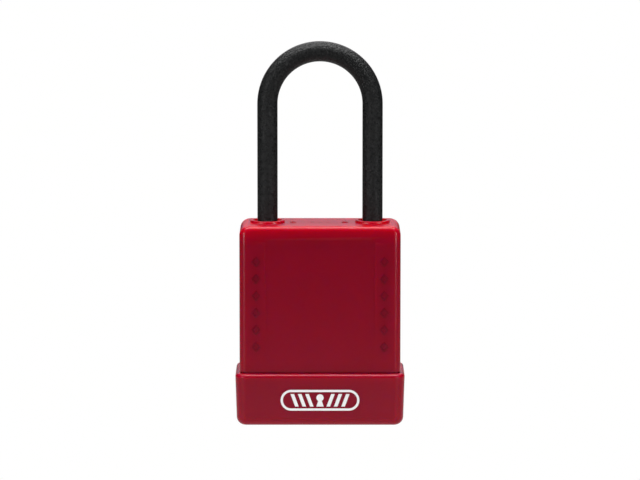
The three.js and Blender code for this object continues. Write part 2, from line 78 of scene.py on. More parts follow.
JACKET = {
    "width": 38,
    "depth": 18.2,
    "corner": 1.75,
    "end_edge": 2.3,
    "long_edge": 1.05,
    "crown": 0.22,
    "crown_reach": 5,
}
CROWN_DROPS = (5, 4, 3)
JACKET_ROOM = {"width": 34.5, "depth": 15, "corner": 1.6, "ceiling": 45.6}
BOSS = {
    "radius": 4.1,
    "height": 0.55,
    "round": 0.2,
    "root": 0.6,
    "flare": 0.05,
    "hole": 2.5,
    "hole_depth": 8,
    "dish": 3.4,
    "dish_depth": 0.4,
    "lead": 0.12,
}
PANEL = {"width": 26, "top": 44.2, "depth": 0.2, "corner": 0.8, "slope": 0.25}
MARKS = {
    "rows": 6,
    "pitch": 4.05,
    "lowest": 18.7,
    "from_middle": 15.1,
    "width": 2.1,
    "height": 2.5,
    "stroke": 0.34,
    "relief": 0.12,
    "root": 0.3,
}
TOP_RINGS = {"left": -6.4, "right": 5.9}
TOP_RING = {"y": -0.4, "outer": 0.75, "inner": 0.4, "relief": 0.15, "root": 0.3}
TOP_DASH = {"pitch": 1.9, "half_length": 0.4, "front": -0.5, "back": -0.2, "relief": 0.05}

COLLAR = {"corner": 2.75, "draft": 0.3, "foot": 2.0, "lip": 0.9}
COLLAR_ROOM = {"width": 37.2, "depth": 17.6, "corner": 1.85, "floor": 1.6}
PLUG_OPENING = {"gap": 0.35, "mouth": 0.5}
BADGE = {"width": 18.6, "height": 5.0, "stroke": 0.55, "ink": 0.03, "root": 0.3}
KEYHOLE = {"radius": 0.85, "head": 0.6, "foot": -1.5, "start_deg": -60, "turn_deg": 300}
BARS = {"each_side": 3, "first": 2.5, "pitch": 1.75, "lean": 0.55, "half_width": 0.42, "half_height": 1.5}

LIFT = 10.5
BALL_TRAVEL = 3.675
SLEEVE = {"end_round": 0.25, "bore_gap": 0.05}
ROD = {"below_ball": 1.65, "end_round": 0.4}
NECK = {"pin_gap": 0.2, "side_gap": 0.1}
BALL_NOTCH = {"gap": 0.15, "reach": 4}

PLUG = {"edge": 0.35, "groove": 0.7}
KEYWAY = {"left": -4.1, "right": 2.4, "half_width": 0.7, "top": 22.3}
WARD = {"left": -2.3, "right": -1.1, "from": 0.15, "top": 23.3}
SIDE_GROOVE = {"half_width": 0.6, "depth": 0.45}
PIN_BORE = {"radius": 1.35, "start": 0.3, "end": 6}
CAM_SLOT = {"half_width": 1, "half_length": 2.2, "foot": 25.0}
TUMBLERS = range(1, 6)
TUMBLER_SPRING = {"turns": 5, "wire": 0.16, "sides": 8, "per_turn": 20}
SHACKLE_SPRING = {"turns": 7, "wire": 0.28, "sides": 10, "per_turn": 28}
END_PITCH = 0.35  # the pitch of a spring's closed end turns, as a part of the others'

# How far each end of a pin is drawn out into a dome, as a part of the pin's radius.
DOWEL_ENDS = (0.3, 0.3)
KEY_PIN_ENDS = (0.75, 0.12)
DRIVER_PIN_ENDS = (0.12, 0.12)

# ------------------------------------------------------------------ details, in metres

SKIRT_STEP = 0.6 * MM
LEDGE_GAP = 0.3 * MM
OVERSHOOT = MM  # how far a cutting solid reaches past what it cuts
LONG_OVERSHOOT = 5 * MM
FINE_EDGE = 0.1 * MM
MARK_EDGE = 0.04 * MM
ROD_EDGE = 0.08 * MM
PLUG_EDGE = 0.06 * MM
METAL_EDGE = 0.12 * MM
PAINTED_GLOW_BAND = (42.6 * MM, 46 * MM)  # the heights over which the red is painted lighter and lighter, a painted glow

# ------------------------------------------------------------------ the stage, in metres, watts and degrees

FLOOR = {"half_width": 3, "thickness": 0.02}
FLOOR_GLOW = {"strength": 0.37, "full_to": 0.12, "gone_at": 0.5}
FOOT_GLOW = {"strength": 0.4, "full_to": 0.03, "gone_at": 0.15}
WORLD = {"fill": 0.03, "seen": 1.0}
AIM = (0, 0, 0.045)
WHITE = (1, 1, 1)
LIGHTS = (
    # name, place, size, power, tint
    ("overhead", (0, -0.07, 0.8), (1.15, 0.4), 16.3, WHITE),
    ("behind", (0, 1.6, 0.45), (1.6, 0.8), 1.8, (1.0, 0.8, 0.95)),
    ("key", (0, -0.6, 0.7), (0.9, 0.3), 0.5, WHITE),
    ("strip_left", (-0.56, -0.58, 0.02), (0.07, 0.28), 3.4, WHITE),
    ("strip_right", (0.56, -0.58, 0.02), (0.07, 0.28), 3.4, WHITE),
    ("back_fill", (0, 0.9, 0.75), (0.9, 0.3), 3, WHITE),
)
CAMERA = {"target": (0, 0, 0.043), "distance": 1.0005, "elevation": 7.133, "lens_mm": 237.3, "sensor_mm": 36}

# ------------------------------------------------------------------ fineness

SHARP_ANGLE = 38
CORNER_STEPS = 12
EDGE_STEPS = 18
ARC_STEPS = 8
PILL_STEPS = 20
KEYHOLE_STEPS = 28
ARCH_STEPS = 96
NOTCH_STEPS = 12

UPRIGHT_TO = {
    "X": Matrix.Rotation(math.pi / 2, 4, "Y"),
    "Y": Matrix.Rotation(-math.pi / 2, 4, "X"),
    "Z": Matrix(),
}


# ------------------------------------------------------------------ mesh helpers


def object_from(bm, name):
    """A linked object made from a bmesh, which is freed."""
    bmesh.ops.recalc_face_normals(bm, faces=bm.faces)
    mesh = bpy.data.meshes.new(name)
    bm.to_mesh(mesh)
    bm.free()
    obj = bpy.data.objects.new(name, mesh)
    bpy.context.scene.collection.objects.link(obj)
    return obj


def loft(name, rings):
    """Joins rings of points, each the same length, with quads, and caps the ends."""
    bm = bmesh.new()
    levels = [[bm.verts.new(point) for point in ring] for ring in rings]
    for lower, upper in zip(levels, levels[1:]):
        for i in range(len(lower)):
            j = (i + 1) % len(lower)
            bm.faces.new((lower[i], lower[j], upper[j], upper[i]))
    bm.faces.new(levels[0][::-1])
    bm.faces.new(levels[-1])
    return object_from(bm, name)


def rounded_ring(half_width, half_depth, corner, z):
    """Points round a rounded rectangle at height z."""
    points = []
    for quarter, (sx, sy) in enumerate(((1, 1), (-1, 1), (-1, -1), (1, -1))):
        for i in range(CORNER_STEPS + 1):
            angle = math.pi / 2 * (quarter + i / CORNER_STEPS)
            x = sx * (half_width - corner) + corner * math.cos(angle)
            y = sy * (half_depth - corner) + corner * math.sin(angle)
            points.append((x, y, z))
    return points


def inset_at(drop, radius):
    """How far a rounded edge draws in at a depth of drop below the face that it meets."""
    short = max(0.0, radius - drop)
    return radius - math.sqrt(radius * radius - short * short)


def quarter_round(radius, steps):
    """(inset, drop) pairs over a rounded edge, from the upright side to the level face."""
    for i in range(steps + 1):
        angle = math.pi / 2 * i / steps
        yield radius * (1 - math.cos(angle)), radius * (1 - math.sin(angle))


def lathe(name, profile, at=(0, 0, 0), axis="Z", sides=64):
    """A solid turned from (radius, height) pairs, whose ends lie on the axis."""
    bm = bmesh.new()
    rows = []
    for radius, height in profile:
        count = 1 if radius == 0 else sides
        row = []
        for i in range(count):
            angle = 2 * math.pi * i / sides
            row.append(bm.verts.new((radius * math.cos(angle), radius * math.sin(angle), height)))
        rows.append(row)
    for lower, upper in zip(rows, rows[1:]):
        for i in range(sides):
            j = (i + 1) % sides
            corners = [row[k % len(row)] for row, k in ((lower, i), (lower, j), (upper, j), (upper, i))]
            corners = list(dict.fromkeys(corners))
            if len(corners) > 2:
                bm.faces.new(corners)
    bmesh.ops.transform(bm, matrix=Matrix.Translation(at) @ UPRIGHT_TO[axis], verts=bm.verts)
    return object_from(bm, name)


def prism(name, outline, low_y, high_y, centre=(0, 0)):
    """A solid from an outline of (x, z) pairs, between two depths."""
    cx, cz = centre
    rings = [[(cx + x, y, cz + z) for x, z in outline] for y in (low_y, high_y)]
    return loft(name, rings)


def box(name, low, high):
    """A box between two corners."""
    outline = [(low[0], low[2]), (high[0], low[2]), (high[0], high[2]), (low[0], high[2])]
    return prism(name, outline, low[1], high[1])


def apply_modifiers(obj):
    """Bakes an object's modifiers into its mesh."""
    graph = bpy.context.evaluated_depsgraph_get()
    mesh = bpy.data.meshes.new_from_object(obj.evaluated_get(graph))
    obj.modifiers.clear()
    obj.data = mesh


def cut(obj, *others, operation="DIFFERENCE"):
    """Cuts or joins solids, and removes the ones used up."""
    for other in others:
        modifier = obj.modifiers.new("solid", "BOOLEAN")
        modifier.operation = operation
        modifier.solver = "EXACT"
        modifier.object = other
        apply_modifiers(obj)
        bpy.data.objects.remove(other)
    return obj


def join(obj, *others):
    """Joins solids into one."""
    cut(obj, *others, operation="UNION")


def finish_edges(obj, width=FINE_EDGE):
    """Rounds every sharp edge a little, and shades the rest smooth with the flat faces kept flat."""
    add_bevel(obj, width, SHARP_ANGLE, segments=3)
    apply_modifiers(obj)
    smooth(obj)


def add_bevel(obj, width, angle, segments):
    """Rounds the edges where the faces turn by more than an angle."""
    bevel = obj.modifiers.new("edge_round", "BEVEL")
    bevel.width = width
    bevel.segments = segments
    bevel.limit_method = "ANGLE"
    bevel.angle_limit = math.radians(angle)


def smooth(obj, angle=SHARP_ANGLE):
    """Smooth shading with weighted normals."""
    obj.data.shade_smooth()
    obj.data.set_sharp_from_angle(angle=math.radians(angle))
    obj.modifiers.new("normals", "WEIGHTED_NORMAL").keep_sharp = True


def arc(radius, steps, start, turn):
    """Points of an arc, as (x, z) pairs."""
    angles = [start + turn * i / steps for i in range(steps + 1)]
    return [(radius * math.cos(angle), radius * math.sin(angle)) for angle in angles]


# ------------------------------------------------------------------ node helpers


class Nodes:
    """A material with a Principled shader, and short calls for the nodes that drive it."""

    def __init__(self, name):
        self.material = bpy.data.materials.new(name)
        self.material.use_nodes = True
        self.tree = self.material.node_tree
        self.shader = self.tree.nodes["Principled BSDF"]
        self.place = self.add("ShaderNodeTexCoord").outputs["Object"]

    def add(self, kind, **inputs):
        """A new node. Inputs are numbers, colours or sockets, with _ for a space in their names."""
        node = self.tree.nodes.new(kind)
        for name, value in inputs.items():
            self.feed(node.inputs[name.replace("_", " ")], value)
        return node

    def feed(self, socket, value):
        """Links a socket into another, or sets a plain value on it."""
        if isinstance(value, bpy.types.NodeSocket):
            self.tree.links.new(value, socket)
        else:
            socket.default_value = value

    def set(self, **inputs):
        """Feeds the shader's own inputs."""
        for name, value in inputs.items():
            self.feed(self.shader.inputs[name.replace("_", " ")], value)

    def stretched(self, x, y, z):
        """The place with each axis scaled, for grain that runs one way."""
        mapping = self.add("ShaderNodeMapping", Vector=self.place, Scale=(x, y, z))
        return mapping.outputs["Vector"]

    def height(self):
        """How high a point is above the floor, at rest."""
        return self.add("ShaderNodeSeparateXYZ", Vector=self.place).outputs["Z"]

    def noise(self, scale, detail=4.0, roughness=0.55, vector=None):
        """Noise with so many grains to the metre."""
        node = self.add("ShaderNodeTexNoise", Scale=scale, Detail=detail, Roughness=roughness)
        self.feed(node.inputs["Vector"], vector or self.place)
        return node.outputs["Fac"]

    def cells(self, scale):
        """Round cells, as the distance from the nearest cell's middle."""
        return self.add("ShaderNodeTexVoronoi", Scale=scale, Vector=self.place).outputs["Distance"]

    def remap(self, value, low, high, to_low, to_high):
        """Maps the range low to high onto another, and clamps the result to it."""
        node = self.add("ShaderNodeMapRange")
        for name, number in zip(("From Min", "From Max", "To Min", "To Max"), (low, high, to_low, to_high)):
            node.inputs[name].default_value = number
        self.feed(node.inputs["Value"], value)
        return node.outputs["Result"]

    def blend(self, factor, first, second):
        """A colour between two."""
        node = self.tree.nodes.new("ShaderNodeMix")
        node.data_type = "RGBA"
        self.feed(node.inputs["Factor"], factor)
        self.feed(node.inputs["A"], first)
        self.feed(node.inputs["B"], second)
        return node.outputs["Result"]

    def math(self, operation, first, second):
        """A sum, a product or the like of two numbers."""
        node = self.tree.nodes.new("ShaderNodeMath")
        node.operation = operation
        self.feed(node.inputs[0], first)
        self.feed(node.inputs[1], second)
        return node.outputs["Value"]

    def bump(self, height, distance, strength):
        """Surface relief from a height."""
        node = self.add("ShaderNodeBump", Height=height, Distance=distance, Strength=strength)
        return node.outputs["Normal"]


def colour(red, green, blue):
    """An opaque colour."""
    return (red, green, blue, 1.0)


# ------------------------------------------------------------------ materials


def red_plastic(name, depth):
    """Injection-moulded red nylon: satin gloss, a fine spark-eroded skin and faint flow marks.

    A depth under 1 gives a darker red, which the raised marks use as painted shade. Near the jacket's top
    edge the base colour is painted a lighter red, a painted glow where light gets into the top edge.
    """
    n = Nodes(name)
    flow = n.noise(90, detail=3, vector=n.stretched(1, 1, 0.35))
    skin = n.noise(3600, detail=2, roughness=0.5)
    ripple = n.noise(420, detail=2)
    plain = colour(0.242 * depth, 0.0008, 0.0145 * depth)
    streak = colour(0.254 * depth, 0.001, 0.0155 * depth)
    pore = colour(0.175 * depth, 0.0007, 0.0115 * depth)
    # painted glow: a lighter red for the top few millimetres of the jacket
    painted_glow_red = colour(0.32 * depth, 0.0006, 0.012 * depth)
    tint = n.blend(n.remap(flow, 0.3, 0.7, 0, 1), plain, streak)
    shade = n.blend(n.remap(skin, 0.35, 0.75, 0, 0.16), tint, pore)
    # painted glow: the base colour turns to the lighter red with height, painted light for light getting in
    # at the top edge
    glow = n.remap(n.height(), *PAINTED_GLOW_BAND, 0, 1)
    shade = n.blend(glow, shade, painted_glow_red)
    height = n.math("ADD", n.math("MULTIPLY", skin, 0.6), n.math("MULTIPLY", ripple, 0.1))
    n.set(
        Base_Color=shade,
        Roughness=n.remap(n.noise(2400, detail=2), 0.3, 0.7, 0.215, 0.24),
        Specular_IOR_Level=0.22,
        Subsurface_Weight=0.7,
        Subsurface_Radius=(8.0, 0.3, 0.3),
        Subsurface_Scale=MM,
        Normal=n.bump(height, 0.009 * MM, 0.4),
    )
    return n.material


def black_sleeve():
    """Matte black insulating sleeve with a granular moulded skin."""
    n = Nodes("black_sleeve")
    grain = n.cells(2100)
    fine = n.noise(3600, detail=3, roughness=0.65)
    pits = n.noise(1300, detail=4, roughness=0.6)
    height = n.math("ADD", n.math("MULTIPLY", grain, -0.9), n.math("ADD", fine, pits))
    speck = n.remap(n.math("ADD", fine, n.math("MULTIPLY", pits, 0.8)), 0.75, 1.15, 0, 1)
    n.set(
        Base_Color=n.blend(speck, colour(0.0078, 0.0081, 0.0083), colour(0.0145, 0.0149, 0.0152)),
        Roughness=n.remap(pits, 0.3, 0.7, 0.24, 0.34),
        Specular_IOR_Level=0.155,
        Normal=n.bump(height, 0.1 * MM, 1.0),
    )
    return n.material


def steel():
    """Ground, hardened steel with fine grinding lines and light wear."""
    n = Nodes("ground_steel")
    lines = n.noise(1600, detail=5, vector=n.stretched(1, 1, 0.06))
    wear = n.noise(320, detail=4)
    worn = n.remap(wear, 0.35, 0.7, 0, 1)
    n.set(
        Base_Color=n.blend(worn, colour(0.5, 0.5, 0.51), colour(0.66, 0.66, 0.67)),
        Metallic=1.0,
        Roughness=n.remap(lines, 0.3, 0.7, 0.18, 0.36),
        Normal=n.bump(lines, 0.006 * MM, 0.6),
    )
    return n.material


def brass():
    """Turned and milled brass, a little dulled."""
    n = Nodes("turned_brass")
    tarnish = n.noise(500, detail=5, roughness=0.6)
    turning = n.noise(2600, detail=4, vector=n.stretched(1, 1, 0.1))
    dull = colour(0.42, 0.29, 0.12)
    n.set(
        Base_Color=n.blend(n.remap(tarnish, 0.4, 0.75, 0, 1), colour(0.74, 0.54, 0.25), dull),
        Metallic=1.0,
        Roughness=n.remap(tarnish, 0.3, 0.7, 0.22, 0.42),
        Normal=n.bump(turning, 0.008 * MM, 0.6),
    )
    return n.material


def block_metal():
    """Machined alloy block with a slightly rough cast skin."""
    n = Nodes("block_alloy")
    cast = n.noise(900, detail=6, roughness=0.65)
    milled = n.noise(2400, detail=3, vector=n.stretched(1, 0.1, 1))
    height = n.math("ADD", cast, n.math("MULTIPLY", milled, 0.5))
    patches = n.remap(cast, 0.35, 0.7, 0, 1)
    n.set(
        Base_Color=n.blend(patches, colour(0.52, 0.53, 0.54), colour(0.63, 0.64, 0.65)),
        Metallic=1.0,
        Roughness=n.remap(cast, 0.3, 0.7, 0.38, 0.58),
        Normal=n.bump(height, 0.02 * MM, 0.6),
    )
    return n.material


def white_ink():
    """Opaque white pad-printing ink, very slightly uneven and thin at pinholes."""
    n = Nodes("white_ink")
    cover = n.noise(2600, detail=4, roughness=0.6)
    pinholes = n.remap(cover, 0.58, 0.8, 0, 0.55)
    n.set(
        Base_Color=n.blend(pinholes, colour(0.86, 0.84, 0.85), colour(0.6, 0.3, 0.33)),
        Roughness=n.remap(cover, 0.3, 0.7, 0.4, 0.55),
        Normal=n.bump(cover, 0.006 * MM, 0.5),
    )
    return n.material


def pale_floor():
    """A white floor. It throws a softer light on the padlock, which fades with the distance."""
    n = Nodes("pale_floor")
    distance = n.tree.nodes.new("ShaderNodeVectorMath")
    distance.operation = "LENGTH"
    n.feed(distance.inputs[0], n.place)
    far, near = (
        n.remap(distance.outputs["Value"], glow["full_to"], glow["gone_at"], glow["strength"], 0)
        for glow in (FLOOR_GLOW, FOOT_GLOW)
    )
    seen = n.add("ShaderNodeLightPath").outputs["Is Camera Ray"]
    cloud = n.remap(n.noise(14, detail=3), 0.3, 0.7, 0, 1)
    n.set(
        Base_Color=colour(0, 0, 0),
        Specular_IOR_Level=0.0,
        Roughness=1.0,
        Emission_Color=n.blend(cloud, colour(1, 1, 1), colour(1, 1, 0.996)),
        Emission_Strength=n.math("MAXIMUM", seen, n.math("ADD", near, far)),
    )
    return n.material


RED = red_plastic("red_plastic", depth=1.0)
# The raised marks use a darker copy of the red plastic, as painted shade.
PAINTED_SHADE_RED = red_plastic("painted_shade_red_plastic", depth=0.86)
BLACK = black_sleeve()
STEEL = steel()
BRASS = brass()
ALLOY = block_metal()
INK = white_ink()


def dress(obj, material, slot, *nodes):
    """Gives a piece its material and hides the CAD nodes that it stands for. The slot is not used."""
    obj.data.materials.clear()
    obj.data.materials.append(material)
    if nodes:
        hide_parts(*nodes)


def place(obj, body, material, slot, *nodes):
    """Lets a piece ride on its body, and dresses it."""
    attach(obj, body)
    dress(obj, material, slot, *nodes)


# ------------------------------------------------------------------ jacket


def jacket_shell():
    """The red shell: skirt, step, tall sides, rounded top, bosses, label panel and moulded marks."""
    half_width = JACKET["width"] / 2 * MM
    half_depth = JACKET["depth"] / 2 * MM
    corner = JACKET["corner"] * MM
    top = jacket_high.z - BOSS["height"] * MM
    step = collar_high.z + LEDGE_GAP
    skirt = (half_width - SKIRT_STEP, half_depth - SKIRT_STEP, corner)
    rings = [rounded_ring(*skirt, jacket_low.z), rounded_ring(*skirt, step)]
    rings.append(rounded_ring(half_width, half_depth, corner, step))
    end_edge = JACKET["end_edge"] * MM
    long_edge = JACKET["long_edge"] * MM
    drops = [drop * MM for drop in CROWN_DROPS]
    drops += [end_edge * (1 - math.sin(math.pi / 2 * i / EDGE_STEPS)) for i in range(EDGE_STEPS + 1)]
    for drop in drops:
        in_x = inset_at(drop, end_edge)
        in_y = inset_at(drop, long_edge) + crown_at(drop)
        round_corner = corner - min(in_x, in_y)
        rings.append(rounded_ring(half_width - in_x, half_depth - in_y, round_corner, top - drop))
    shell = loft("jacket_shell", rings)
    join(shell, boss(-LEG_X, top), boss(LEG_X, top))
    cut(shell, jacket_room(), leg_hole(-LEG_X), leg_hole(LEG_X), label_panel())
    finish_edges(shell)
    marks = [side_mark(side, row, -half_depth) for side in (-1, 1) for row in range(MARKS["rows"])]
    for mark in marks + top_marks(top):
        finish_edges(mark, width=MARK_EDGE)
        # the marks take the darker red, a painted shade
        place(mark, "case", PAINTED_SHADE_RED, "red_plastic")
    place(shell, "case", RED, "red_plastic", "body_jacket")


def crown_at(drop):
    """How far the front and back lean in near the top, at a depth of drop below it."""
    reach = JACKET["crown_reach"] * MM
    return JACKET["crown"] * MM * max(0.0, 1 - drop / reach) ** 2


def boss(x, top):
    """The raised ring round a shackle leg."""
    radius = BOSS["radius"] * MM
    height = top + BOSS["height"] * MM
    root = top - BOSS["root"] * MM
    profile = [(0, root), (radius + BOSS["flare"] * MM, root)]
    for inset, drop in quarter_round(BOSS["round"] * MM, 5):
        profile.append((radius - inset, height - drop))
    profile.append((0, height))
    return lathe("boss", profile, at=(x, 0, 0))


def leg_hole(x):
    """The hole for a leg, with a dish sunk into the boss round it and a rounded rim."""
    radius = BOSS["hole"] * MM
    dish = BOSS["dish"] * MM
    lead = BOSS["lead"] * MM
    top = jacket_high.z
    floor = top - BOSS["dish_depth"] * MM
    foot = top - BOSS["hole_depth"] * MM
    profile = [(0, foot), (radius, foot), (radius, floor), (dish, floor)]
    for inset, drop in quarter_round(lead, 5):
        profile.append((dish + inset, top - drop))
    profile += [(dish + lead, top + OVERSHOOT), (0, top + OVERSHOOT)]
    return lathe("leg_hole", profile, at=(x, 0, 0))


def jacket_room():
    """The hollow of the jacket, which holds the lock block."""
    names = ("width", "depth", "corner", "ceiling")
    width, depth, corner, ceiling = (JACKET_ROOM[name] * MM for name in names)
    heights = (-OVERSHOOT, ceiling)
    return loft("jacket_room", [rounded_ring(width / 2, depth / 2, corner, z) for z in heights])


def label_panel():
    """The shallow field for a label, with sloping edges, open at the foot of the jacket."""
    front = -JACKET["depth"] / 2 * MM
    slope = PANEL["slope"] * MM
    rings = []
    for y, grow in ((front - LONG_OVERSHOOT, slope), (front, slope), (front + PANEL["depth"] * MM, -slope)):
        half = PANEL["width"] / 2 * MM + grow
        corner = PANEL["corner"] * MM + grow
        top = PANEL["top"] * MM + grow
        right = arc(corner, ARC_STEPS, 0, math.pi / 2)
        left = arc(corner, ARC_STEPS, math.pi / 2, math.pi / 2)
        outline = [(-half, collar_high.z), (half, collar_high.z)]
        outline += [(half - corner + x, top - corner + z) for x, z in right]
        outline += [(corner - half + x, top - corner + z) for x, z in left]
        rings.append([(x, y, z) for x, z in outline])
    return loft("label_panel", rings)


def side_mark(side, row, front):
    """A raised lozenge outline beside the label panel."""
    half_width = MARKS["width"] / 2 * MM
    half_height = MARKS["height"] / 2 * MM
    stroke = MARKS["stroke"] * MM
    outer = [(half_width, 0), (0, half_height), (-half_width, 0), (0, -half_height)]
    shrink = 1 - stroke * math.hypot(1 / half_width, 1 / half_height)
    inner = [(x * shrink, z * shrink) for x, z in outer]
    centre = (side * MARKS["from_middle"] * MM, (MARKS["lowest"] + row * MARKS["pitch"]) * MM)
    proud = front - MARKS["relief"] * MM
    name = f"side_mark_{'left' if side < 0 else 'right'}_{row + 1}"
    mark = prism(name, outer, proud, front + MARKS["root"] * MM, centre)
    return cut(mark, prism("side_mark_hole", inner, proud - OVERSHOOT, front + OVERSHOOT, centre))


def top_marks(top):
    """Small raised rings and dashes on the top face between the bosses."""
    marks = []
    foot = top - TOP_RING["root"] * MM
    outer = TOP_RING["outer"] * MM
    inner = TOP_RING["inner"] * MM
    face = top + TOP_RING["relief"] * MM
    for name, x in TOP_RINGS.items():
        profile = [(0, foot), (outer, foot), (outer, face), (inner, face), (inner, top), (0, top)]
        marks.append(lathe(f"top_ring_{name}", profile, at=(x * MM, TOP_RING["y"] * MM, 0), sides=32))
    for number, place_in_row in ((1, -1), (2, 0), (3, 1)):
        x = place_in_row * TOP_DASH["pitch"]
        low = ((x - TOP_DASH["half_length"]) * MM, TOP_DASH["front"] * MM, foot)
        high = ((x + TOP_DASH["half_length"]) * MM, TOP_DASH["back"] * MM, top + TOP_DASH["relief"] * MM)
        marks.append(box(f"top_dash_{number}", low, high))
    return marks


# ------------------------------------------------------------------ collar and badge


def collar_cap():
    """The stepped cap under the jacket: rounded foot, slight taper, rounded lip, opening for the plug."""
    half_width = collar_high.x
    half_depth = collar_high.y
    corner = COLLAR["corner"] * MM
    draft = COLLAR["draft"] * MM
    rings = []
    for inset, drop in reversed(list(quarter_round(COLLAR["foot"] * MM, 12))):
        inset += draft
        rings.append(rounded_ring(half_width - inset, half_depth - inset, corner - inset, drop))
    for inset, drop in quarter_round(COLLAR["lip"] * MM, 10):
        z = collar_high.z - drop
        rings.append(rounded_ring(half_width - inset, half_depth - inset, corner - inset, z))
    cap = loft("collar_cap", rings)
    cut(cap, collar_room(), plug_opening())
    finish_edges(cap)
    place(cap, "case", RED, "red_plastic", "base_collar")


def collar_room():
    """The hollow of the cap, which the skirt of the jacket sits in."""
    names = ("width", "depth", "corner", "floor")
    width, depth, corner, floor = (COLLAR_ROOM[name] * MM for name in names)
    heights = (floor, collar_high.z + LONG_OVERSHOOT)
    return loft("collar_room", [rounded_ring(width / 2, depth / 2, corner, z) for z in heights])


def plug_opening():
    """The round opening over the plug, with a coned mouth."""
    radius = plug_high.x + PLUG_OPENING["gap"] * MM
    mouth = PLUG_OPENING["mouth"] * MM
    profile = [
        (0, -OVERSHOOT),
        (radius + mouth + OVERSHOOT, -OVERSHOOT),
        (radius, mouth),
        (radius, LONG_OVERSHOOT),
        (0, LONG_OVERSHOOT),
    ]
    return lathe("plug_opening", profile, sides=96)


def pill(half_width, half_height):
    """The outline of a pill, as (x, z) pairs."""
    straight = half_width - half_height
    right = [(straight + x, z) for x, z in arc(half_height, PILL_STEPS, -math.pi / 2, math.pi)]
    left = [(x - straight, z) for x, z in arc(half_height, PILL_STEPS, math.pi / 2, math.pi)]
    return right + left


def badge():
    """A white pad-printed badge on the front of the collar: a pill with a keyhole between slanted bars."""
    half_width = BADGE["width"] / 2 * MM
    half_height = BADGE["height"] / 2 * MM
    stroke = BADGE["stroke"] * MM
    centre = (0, collar_high.z / 2)
    low, high = badge_depths(centre[1])
    border = prism("badge_border", pill(half_width, half_height), low, high, centre)
    inside = pill(half_width - stroke, half_height - stroke)
    cut(border, prism("hole", inside, low - OVERSHOOT, high + OVERSHOOT, centre))
    parts = [border, keyhole(low, high, centre)]
    parts += [slanted_bar(side, i, low, high, centre) for side in (-1, 1) for i in range(BARS["each_side"])]
    for part in parts:
        lean_with_front(part, centre[1])
        smooth(part, angle=30)
        place(part, "case", INK, "red_plastic")


def badge_depths(z):
    """The depths that the ink spans on the collar's sloping front, at height z."""
    face = front_slope() * (collar_high.z - z) - collar_high.y
    return face - BADGE["ink"] * MM, face + BADGE["root"] * MM


def front_slope():
    """How far back the collar's front leans for each metre down."""
    return COLLAR["draft"] * MM / (collar_high.z - (COLLAR["foot"] + COLLAR["lip"]) * MM)


def lean_with_front(part, middle_z):
    """Shears a badge piece so that it lies on the sloping front."""
    for vertex in part.data.vertices:
        vertex.co.y -= front_slope() * (vertex.co.z - middle_z)


def keyhole(low, high, centre):
    """A keyhole shape in ink."""
    radius = KEYHOLE["radius"] * MM
    head = KEYHOLE["head"] * MM
    foot = KEYHOLE["foot"] * MM
    start, turn = math.radians(KEYHOLE["start_deg"]), math.radians(KEYHOLE["turn_deg"])
    around = arc(radius, KEYHOLE_STEPS, start, turn)
    outline = [(x, head + z) for x, z in around]
    outline += [(-radius, foot), (radius, foot)]
    return prism("badge_keyhole", outline, low, high, centre)


def slanted_bar(side, index, low, high, centre):
    """One of the slanted bars beside the keyhole."""
    middle = side * (BARS["first"] + BARS["pitch"] * index) * MM
    lean = side * BARS["lean"] * MM
    half = BARS["half_width"] * MM
    tall = BARS["half_height"] * MM
    outline = [
        (middle - half - lean, -tall),
        (middle + half - lean, -tall),
        (middle + half + lean, tall),
        (middle - half + lean, tall),
    ]
    name = f"badge_bar_{'left' if side < 0 else 'right'}_{index + 1}"
    return prism(name, outline, low, high, centre)


# ------------------------------------------------------------------ shackle


def shackle_line(heel_end, toe_end):
    """(point, outward direction) pairs along the bent centre line, from the heel leg to the toe leg."""
    line = [(Vector((-LEG_X, 0, heel_end)), Vector((-1, 0, 0)))]
    for i in range(ARCH_STEPS + 1):
        angle = math.pi * i / ARCH_STEPS
        out = Vector((-math.cos(angle), 0, math.sin(angle)))
        line.append((Vector((0, 0, ARCH_Z)) + out * LEG_X, out))
    line.append((Vector((LEG_X, 0, toe_end)), Vector((1, 0, 0))))
    return line


def ring_across(point, out, radius, sides):
    """A circle of points across the shackle's line at a point."""
    depth = Vector((0, 1, 0))
    angles = [2 * math.pi * i / sides for i in range(sides)]
    return [point + radius * (math.cos(angle) * out + math.sin(angle) * depth) for angle in angles]


def bent_rod(name, radius, heel_end, toe_end, sides, end_round=0.0):
    """A round bar along the shackle's line, with its two ends rounded off a little."""
    line = shackle_line(heel_end, toe_end)
    (heel, heel_out), (toe, toe_out) = line[0], line[-1]
    rounding = list(quarter_round(end_round, 5)) if end_round else []
    rings = []
    for inset, drop in reversed(rounding):
        rings.append(ring_across(heel + Vector((0, 0, drop)), heel_out, radius - inset, sides))
    inner = line[1:-1] if rounding else line
    rings += [ring_across(point, out, radius, sides) for point, out in inner]
    for inset, drop in rounding:
        rings.append(ring_across(toe + Vector((0, 0, drop)), toe_out, radius - inset, sides))
    return loft(name, rings)


def sleeve_skin():
    """The black insulating sleeve on the exposed part of the shackle."""
    end_round = SLEEVE["end_round"] * MM
    skin = bent_rod("sleeve_skin", SLEEVE_RADIUS, SLEEVE_END, SLEEVE_END, sides=56, end_round=end_round)
    bore_radius = CORE_RADIUS + SLEEVE["bore_gap"] * MM
    bore_end = SLEEVE_END - LONG_OVERSHOOT
    cut(skin, bent_rod("sleeve_bore", bore_radius, bore_end, bore_end, sides=40))
    smooth(skin)
    place(skin, "shackle", BLACK, "black_sleeve", "shackle_sleeve")


def shackle_rod():
    """The steel rod: rounded ends, two ball notches, and the neck and flange of the captive leg."""
    toe_end = toe_ball_low.z - ROD["below_ball"] * MM
    end_round = ROD["end_round"] * MM
    rod = bent_rod("shackle_rod", CORE_RADIUS, core_low.z, toe_end, sides=40, end_round=end_round)
    cut(rod, heel_neck(), ball_notch(-1), ball_notch(1))
    finish_edges(rod, width=ROD_EDGE)
    place(rod, "shackle", STEEL, "steel", "shackle_core")


